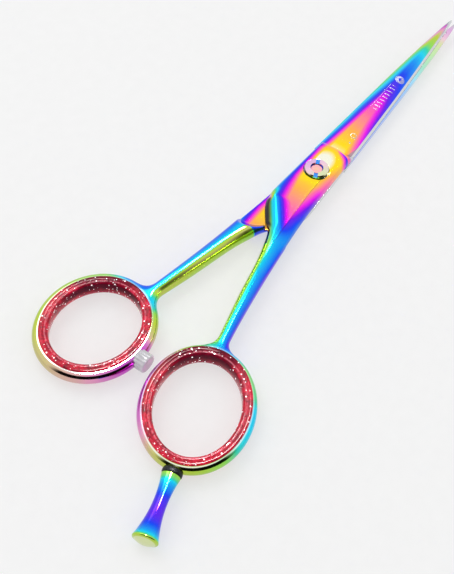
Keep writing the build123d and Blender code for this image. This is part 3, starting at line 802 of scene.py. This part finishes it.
def plan_distance(ring, x, y, z):
    """How far a point lies inside the handle's outline, and half of the bar's width there."""
    inner = INNER_SIDE(x) - ring["inner"] * ramp_up(x, SHANK_START, -17.5)
    edge = EDGE_SIDE(x) - ring["wider"] * ramp_up(x, BOSS_FRONT, -33.0)
    lean = ramp_up(x, SHANK_START, 2.0) * ramp_up(x, HEEL_END, -1.0)
    leaning = inner + lean * (1 - np.maximum(z, 0) / 1.6)
    steep = np.hypot(1, slope_of(INNER_SIDE, x))
    to_spine = (SPINE_SIDE(x) - y) / np.hypot(1, slope_of(SPINE_SIDE, x))
    to_inner = (leaning - y) / steep
    to_edge = (y - edge) / np.hypot(1, slope_of(EDGE_SIDE, x))
    bar = np.minimum(smooth_least(to_spine, to_inner, HEEL_ROUND), to_edge)
    bar = np.minimum(bar, x - SHANK_END)
    ring_disc = oval_distance(ring, ring["steel"], x, y)
    plan = -smooth_least(-bar, -ring_disc, JUNCTION_ROUND)
    return plan, (inner - edge) / 2 / steep


def rounded_body(plan, half_width, x, y, z):
    """The outline given its thickness, with round rims and a crowned face on the boss."""
    rim = np.minimum(RIM_ROUND(x), np.where(x < -24, half_width, 9.0))
    rim = np.where(x < -54, RING_RIM, rim)
    crown = np.clip((y / 4.8) ** 2, 0, 1.3) * CROWN_DROP
    height = HANDLE_HEIGHT(x) - crown * ramp_up(x, -24, 10.0)
    over = np.maximum(rim - plan, 0) / rim
    return (1 - np.hypot(over, z / height)) * np.minimum(rim, height)


def facet_distance(x, y, z):
    """How far a point lies under the facet beyond the crease, which fades out on the shank."""
    facet = HANDLE_HEIGHT(x) - FACET_START - FACET_SLOPE * (CREASE(x) - y) - z
    return facet * 0.92 + 2 * ramp_up(x, -31, -10.0) + np.where(x < -41, 20.0, 0.0)


def lap(x, y, z):
    """Positive where the other half turns in: an arc, or past a bent wall."""
    in_arc = LAP_ARC[2] + LAP_SPREAD * (GAP - z) - np.hypot(x - LAP_ARC[0], y - LAP_ARC[1])
    past_wall = np.minimum(x - SHANK_START, 0.707 * (x - SHANK_START + y))
    past_wall = np.minimum(past_wall, 0.611 * (x + 20.3) + 0.791 * (y + 0.7))
    return np.minimum(GAP - z, np.maximum(in_arc * 0.67, past_wall))


def handle_field(ring, pocket_radius, pocket_floor, bore_radius):
    """A field that is positive inside one handle and falls through zero at its surface."""

    def field(x, y, z):
        plan, half_width = plan_distance(ring, x, y, z)
        body = rounded_body(plan, half_width, x, y, z)
        body = smooth_least(body, facet_distance(x, y, z), 0.15)
        body = smooth_least(body, -lap(x, y, z), 0.25)
        # the raised boss ends in a sloping step
        from_boss = np.hypot(x - BOSS_MIDDLE[0], y - BOSS_MIDDLE[1])
        step = (BOSS_REACH + BOSS_SPREAD * np.maximum(BOSS_TOP - z, 0) - from_boss) * 0.58
        body = np.where(x > 0, smooth_least(body, step, 0.3), body)
        # the hole for the insert, with its two rebates
        seat = oval_distance(ring, 0.0, x, y)
        body = np.minimum(body, INSERT_WEB - seat)
        body = np.minimum(body, np.maximum(HIDDEN_STEEL - seat, REBATE_FLOOR - np.abs(z)))
        # bore, washer pocket and outer pocket
        reach = np.hypot(x, y)
        body = np.minimum(body, reach - bore_radius)
        body = np.minimum(body, np.maximum(reach - WASHER_POCKET[0], z - WASHER_POCKET[1]))
        return np.minimum(body, np.maximum(reach - pocket_radius, pocket_floor - z))

    return field


def handle_piece(name, field, material, body, node, over):
    """One handle with its boss and ring, on the thumb's side where over is true."""
    points, faces = surface_net(field, GRID_LOW, GRID_HIGH, GRID_CELL)
    points = settle(field, points, 0.5 * GRID_CELL)
    if over:
        points = turned_over(points)
    return mesh_piece(name, points.tolist(), faces.tolist(), material, body, node,
                      sharp=60)


# ---- the blades ----
BEVEL_WIDTH = 0.40
BEVEL_HEIGHT = 0.45
BEVEL_LIMIT = 0.35            # the bevel never takes more than this share of the section
SPINE_SHARE = 0.55            # height of the spine's flank, as a share of the crown
CROWN_SHIFT = 0.12            # the crown's ridge stands this share of the width off centre
HOLLOW_DEPTH = 0.14           # hollow grind of the inner face, at the widest section
WIDEST = 9.17
BLADE_ROOT = 6.5              # the blade's mesh starts here, inside the boss
BLADE_STEP = 0.8


def straight(stations, x):
    """The value at x, in straight lines between (place, value) pairs."""
    return float(np.interp(x, [s[0] for s in stations], [s[1] for s in stations]))


def arc_through(first, middle, last, count):
    """Points on the arc through three points of a plane, both ends included."""
    (ax, ay), (bx, by), (cx, cy) = first, middle, last
    d = 2 * (ax * (by - cy) + bx * (cy - ay) + cx * (ay - by))
    a, b, c = ax * ax + ay * ay, bx * bx + by * by, cx * cx + cy * cy
    ux = (a * (by - cy) + b * (cy - ay) + c * (ay - by)) / d
    uy = (a * (cx - bx) + b * (ax - cx) + c * (bx - ax)) / d
    radius = math.hypot(ax - ux, ay - uy)
    start = math.atan2(ay - uy, ax - ux)
    through = math.atan2(by - uy, bx - ux)
    stop = math.atan2(cy - uy, cx - ux)
    whole = 2 * math.pi
    sweep = (stop - start) % whole
    if (through - start) % whole > sweep:
        sweep -= whole
    return [(ux + radius * math.cos(start + sweep * n / (count - 1)),
             uy + radius * math.sin(start + sweep * n / (count - 1))) for n in range(count)]


def blade_section(x):
    """One section: bevel, crowned face, spine flank and hollow inner face."""
    spine = straight(BLADE_SPINE, x)
    edge = straight(BLADE_EDGE, x)
    crown = straight(BLADE_CROWN, x)
    width = spine - edge
    bevel = (edge + min(BEVEL_WIDTH, BEVEL_LIMIT * width),
             GAP + min(BEVEL_HEIGHT, BEVEL_LIMIT * crown))
    middle = (spine + edge) / 2
    ridge = (middle + CROWN_SHIFT * width, crown)
    outer = arc_through(bevel, ridge, (spine, SPINE_SHARE * crown), 17)
    deepest = (middle, GAP + HOLLOW_DEPTH * width / WIDEST)
    hollow = arc_through((spine, GAP), deepest, (edge, GAP), 9)
    return [(x, y, z) for y, z in outer + hollow]


def blade_piece(name, material, body, node, over):
    """One blade, from inside the boss to its tip."""
    places = [BLADE_ROOT + BLADE_STEP * number for number in range(79)] + [69.8, 70.1]
    rows = [blade_section(x) for x in places]
    count = len(rows[0])
    points = np.array([point for row in rows for point in row])
    faces = [face[::-1] for face in grid_faces(len(rows), count, False, True)]
    faces.append(tuple(range(count)))
    last = (len(rows) - 1) * count
    faces.append(tuple(range(last + count - 1, last - 1, -1)))
    if over:
        points = turned_over(points)
    return mesh_piece(name, points.tolist(), faces, material, body, node)


TOOTH_COUNT = 30
TOOTH_SPAN = (13.0, 66.0)     # from the first tooth to the last, along X
TOOTH_GAP_SHARE = 0.52        # share of each pitch that is gap
TOOTH_DEPTH_SHARE = 0.62      # gap depth, as a share of the blade's width
TOOTH_SHORTENING = 0.02       # less of it for each mm beyond the next place
TOOTH_SHORTER_FROM = 54.0


def cut_teeth(piece):
    """Takes the gaps between the thinning teeth out of the lower blade."""
    pitch = (TOOTH_SPAN[1] - TOOTH_SPAN[0]) / TOOTH_COUNT
    gap = TOOTH_GAP_SHARE * pitch
    points, faces = [], []
    for number in range(TOOTH_COUNT):
        x = TOOTH_SPAN[0] + (number + 0.5) * pitch
        spine, edge = straight(BLADE_SPINE, x), straight(BLADE_EDGE, x)
        share = TOOTH_DEPTH_SHARE - TOOTH_SHORTENING * max(0.0, x - TOOTH_SHORTER_FROM)
        root = edge + share * (spine - edge) - gap / 2
        outline = [(x - gap / 2, edge - 1.0), (x + gap / 2, edge - 1.0)]
        for step in range(9):
            angle = math.pi * step / 8
            outline.append((x + gap / 2 * math.cos(angle), root + gap / 2 * math.sin(angle)))
        start = len(points)
        count = len(outline)
        points += [(px, py, -1.0) for px, py in outline] + [(px, py, 3.5) for px, py in outline]
        faces.append(tuple(range(start + count - 1, start - 1, -1)))
        faces.append(tuple(range(start + count, start + 2 * count)))
        for j in range(count):
            k = (j + 1) % count
            faces.append((start + j, start + k, start + count + k, start + count + j))
    mesh = bpy.data.meshes.new("tooth_gaps")
    mesh.from_pydata((turned_over(np.array(points)) * MM).tolist(), [], faces)
    cutter = bpy.data.objects.new("tooth_gaps", mesh)
    bpy.context.scene.collection.objects.link(cutter)
    cut = piece.modifiers.new("teeth", "BOOLEAN")
    cut.operation = "DIFFERENCE"
    cut.solver = "EXACT"
    cut.object = cutter
    bpy.context.view_layer.update()
    result = bpy.data.meshes.new_from_object(
        piece.evaluated_get(bpy.context.evaluated_depsgraph_get()))
    piece.modifiers.clear()
    piece.data = result
    result.set_sharp_from_angle(angle=math.radians(40))
    bpy.data.objects.remove(cutter)


# ---- inserts, bumper and washer ----
# Half of the insert's section: (inwards from the rebate line, height).
INSERT_PROFILE = [(1.23, 0.98), (0.03, 0.98), (0.03, 1.55), (-0.04, 1.76), (0.10, 1.95),
                  (0.35, 2.03), (0.70, 2.05), (0.92, 1.96), (1.05, 1.90), (1.20, 1.98),
                  (1.40, 2.05), (1.65, 1.98), (1.88, 1.75), (2.02, 1.40), (2.10, 0.70)]


def insert_piece(name, ring, material, body, node, over):
    """A soft liner swept round the ring's oval."""
    section = INSERT_PROFILE + [(inwards, -height) for inwards, height in INSERT_PROFILE[::-1]]
    tilt = math.radians(ring["tilt"])
    steps = 144
    points = []
    for number in range(steps):
        angle = 2 * math.pi * number / steps
        for inwards, height in section:
            along = (ring["half_axes"][0] - inwards) * math.cos(angle)
            aside = (ring["half_axes"][1] - inwards) * math.sin(angle)
            points.append((ring["centre"][0] + along * math.cos(tilt) - aside * math.sin(tilt),
                           ring["centre"][1] + along * math.sin(tilt) + aside * math.cos(tilt),
                           height))
    faces = grid_faces(steps, len(section), True, True)
    if over:
        points = turned_over(np.array(points)).tolist()
    return mesh_piece(name, points, faces, material, body, node)


def lathe(profile, steps, radius_share):
    """Points round Z from (radius, height) pairs. The first and last pair lie on the axis."""
    points = [(0.0, 0.0, profile[0][1])]
    for radius, height in profile[1:-1]:
        for number in range(steps):
            angle = 2 * math.pi * number / steps
            reach = radius * radius_share(angle, height)
            points.append((reach * math.cos(angle), reach * math.sin(angle), height))
    points.append((0.0, 0.0, profile[-1][1]))
    faces = []
    for number in range(steps):
        following = (number + 1) % steps
        faces.append((0, 1 + following, 1 + number))
        top = len(points) - 1 - steps
        faces.append((len(points) - 1, top + number, top + following))
    for face in grid_faces(len(profile) - 2, steps, False, True, first=1):
        faces.append(face[::-1])
    return points, faces


BUMPER_GIVE = 0.15      # how much shorter the soft stop is drawn than it is made


def bumper_piece(material):
    """A round fluted stop with soft corners, rooted in the thumb ring."""
    low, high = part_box("bumper")
    middle = (low.x + high.x) / 2 / MM
    end = -low.y / MM - middle * math.sin(REST_OPENING) - BUMPER_GIVE
    root = end - 3.0
    radius = (high.z - low.z) / 2 / MM
    profile = [(0.0, root), (radius, root), (radius, root + 0.8), (radius, end - 0.55),
               (radius - 0.08, end - 0.28), (radius - 0.28, end - 0.08), (radius - 0.6, end - 0.01),
               (radius * 0.4, end), (0.0, end)]
    flutes = 14

    def fluted(angle, height):
        depth = 0.11 * min(1.0, max(0.0, (end - 0.3 - height) / 0.5))
        return 1 - depth * (0.5 + 0.5 * math.cos(flutes * angle)) ** 2

    points, faces = lathe(profile, 112, fluted)
    placed = np.array([(middle + x, z, -y) for x, y, z in points])
    return mesh_piece("ring_bumper", turned_over(placed).tolist(), faces, material,
                      "thumb_side", "bumper")


def rest_washer_piece(material):
    """A bulging rubber washer round the finger rest's stud."""
    low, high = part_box("rest_washer")
    middle = (low + high) / 2 / MM
    radius = (high.z - low.z) / 2 / MM
    half = 0.62
    profile = [(0.0, -half), (radius - 0.35, -half), (radius - 0.1, -half + 0.12),
               (radius, -half + 0.35), (radius + 0.02, 0.0), (radius, half - 0.35),
               (radius - 0.1, half - 0.12), (radius - 0.35, half), (0.0, half)]
    points, faces = lathe(profile, 72, lambda angle, height: 1.0)
    c, s = math.cos(REST_HEADING), math.sin(REST_HEADING)
    placed = [(middle.x + z * c - y * s, middle.y + z * s + y * c, middle.z - x)
              for x, y, z in points]
    return mesh_piece("rubber_washer", placed, faces, material, "rest_seal",
                      "rest_washer")


# ---- materials on the CAD nodes ----
def finish_node(name, material):
    mesh = nodes[name].data
    mesh.materials.clear()
    mesh.materials.append(material)


finger_coating = finger_half_material()
thumb_coating = thumb_half_material()
finger_field = handle_field(FINGER_RING, pocket_radius=2.97, pocket_floor=1.75, bore_radius=2.33)
thumb_field = handle_field(THUMB_RING, pocket_radius=3.13, pocket_floor=1.65, bore_radius=1.80)
handle_piece("finger_handle", finger_field, finger_coating, "finger_side", "finger_half",
             over=False)
blade_piece("upper_blade", finger_coating, "finger_side", "finger_half", over=False)
handle_piece("thumb_handle", thumb_field, thumb_coating, "thumb_side", "thumb_half", over=True)
cut_teeth(blade_piece("lower_blade", thumb_coating, "thumb_side", "thumb_half", over=True))
finish_node("finger_rest", rest_material())
finish_node("tension_nut", nut_material())
finish_node("pivot_stud", stud_material())
steel = steel_material()
finish_node("spring_washer", steel)
finish_node("pivot_bushing", steel)
nylon = nylon_material()
finish_node("blade_washer", nylon)
finish_node("nut_washer", nylon)
insert_piece("finger_liner", FINGER_RING, insert_material("finger_liner_red", FINGER_RING, False),
             "finger_side", "finger_insert", over=False)
insert_piece("thumb_liner", THUMB_RING, insert_material("thumb_liner_red", THUMB_RING, True),
             "thumb_side", "thumb_insert", over=True)
bumper_piece(bumper_material())
rest_washer_piece(rubber_material())


# ---- floor, light and camera ----
def pale_floor():
    """Pale paper that glows a little, so that shadows stay light."""
    half = 3.0
    level = cad_low.z
    mesh = bpy.data.meshes.new("floor")
    corners = [(-half, -half, level), (half, -half, level), (half, half, level), (-half, half, level)]
    mesh.from_pydata(corners, [], [(0, 1, 2, 3)])
    sheet = new_sheet("floor_paper")
    grain = sheet.noise(3.0, detail=3.0)
    colour = sheet.ramp(grain + 0.5, [(0.0, "F2F2F2"), (1.0, "F6F6F6")])
    dimmed = sheet.mix(0.6, colour, "000000")
    sheet.surface(Base_Color=dimmed, Roughness=0.9, Specular_IOR_Level=0.0,
                  Emission_Color=colour, Emission_Strength=0.63)
    mesh.materials.append(sheet.owner)
    floor = bpy.data.objects.new("floor", mesh)
    bpy.context.scene.collection.objects.link(floor)


def studio_world():
    """White all round. Reflections also see a dark room low on the camera's side and a window."""
    sheet = Sheet(bpy.data.worlds.new("studio"))
    bpy.context.scene.world = sheet.owner
    x, y, z = sheet.parts(sheet.direction, 1.0)
    azimuth = (-y).combine("ARCTAN2", -x) * math.degrees(1)
    turn = azimuth - 40.0
    sideways = sheet.until(turn.size(), 50, 75)
    height = z.combine("ARCSINE") * math.degrees(1)
    upright = sheet.step(height, -20, -12) * sheet.until(height, 42, 50)
    path = sheet.nodes.new("ShaderNodeLightPath")
    glossy = Field(sheet, path.outputs["Is Glossy Ray"])
    dark = sideways * upright * glossy
    window = sheet.step(y, -0.10, -0.05) * sheet.until(y, 0.12, 0.17)
    window = window * sheet.step(x, -0.15, -0.05) * sheet.until(x, 0.47, 0.52)
    window = window * sheet.step(z, 0.5, 0.6) * glossy
    background = sheet.nodes.new("ShaderNodeBackground")
    sheet.feed(background.inputs["Color"], sheet.mix(dark, "FFFFFF", "050506"))
    sheet.feed(background.inputs["Strength"], glossy * 0.24 + 0.80 + window * 42.0)
    output = sheet.nodes.new("ShaderNodeOutputWorld")
    sheet.links.new(background.outputs[0], output.inputs[0])


def softbox(name, direction, distance, width, depth, power):
    """An area light aimed at the pivot."""
    light = bpy.data.lights.new(name, "AREA")
    light.shape = "RECTANGLE"
    light.size = width
    light.size_y = depth
    light.energy = power
    box = bpy.data.objects.new(name, light)
    away = Vector(direction).normalized()
    box.location = away * distance
    box.rotation_mode = "QUATERNION"
    box.rotation_quaternion = away.to_track_quat("Z", "Y")
    bpy.context.scene.collection.objects.link(box)


SENSOR_HEIGHT = 36.0
FOCAL_SHARE = 1.74216         # focal length over the picture's height


def photo_camera():
    """The camera, above the rings on the -Y side and looking along the shears."""
    place = Vector((-146.5, -62.7, 179.1)) * MM
    forward = Vector((0.49445, 0.28073, -0.82262))
    up = Vector((0.65495, 0.50188, 0.56494))
    right = forward.cross(up).normalized()
    up = right.cross(forward).normalized()
    data = bpy.data.cameras.new("camera")
    data.sensor_fit = "VERTICAL"
    data.sensor_height = SENSOR_HEIGHT
    data.lens = SENSOR_HEIGHT * FOCAL_SHARE
    data.clip_start = 0.01
    data.clip_end = 10.0
    camera = bpy.data.objects.new("camera", data)
    turn = Matrix((right, up, -forward)).transposed()
    camera.matrix_world = Matrix.Translation(place) @ turn.to_4x4()
    bpy.context.scene.collection.objects.link(camera)
    bpy.context.scene.camera = camera


pale_floor()
studio_world()
softbox("key", (0.1, 0.75, 1.0), 0.9, 0.7, 0.5, 1.6)
photo_camera()
bpy.context.scene.view_settings.view_transform = "Standard"
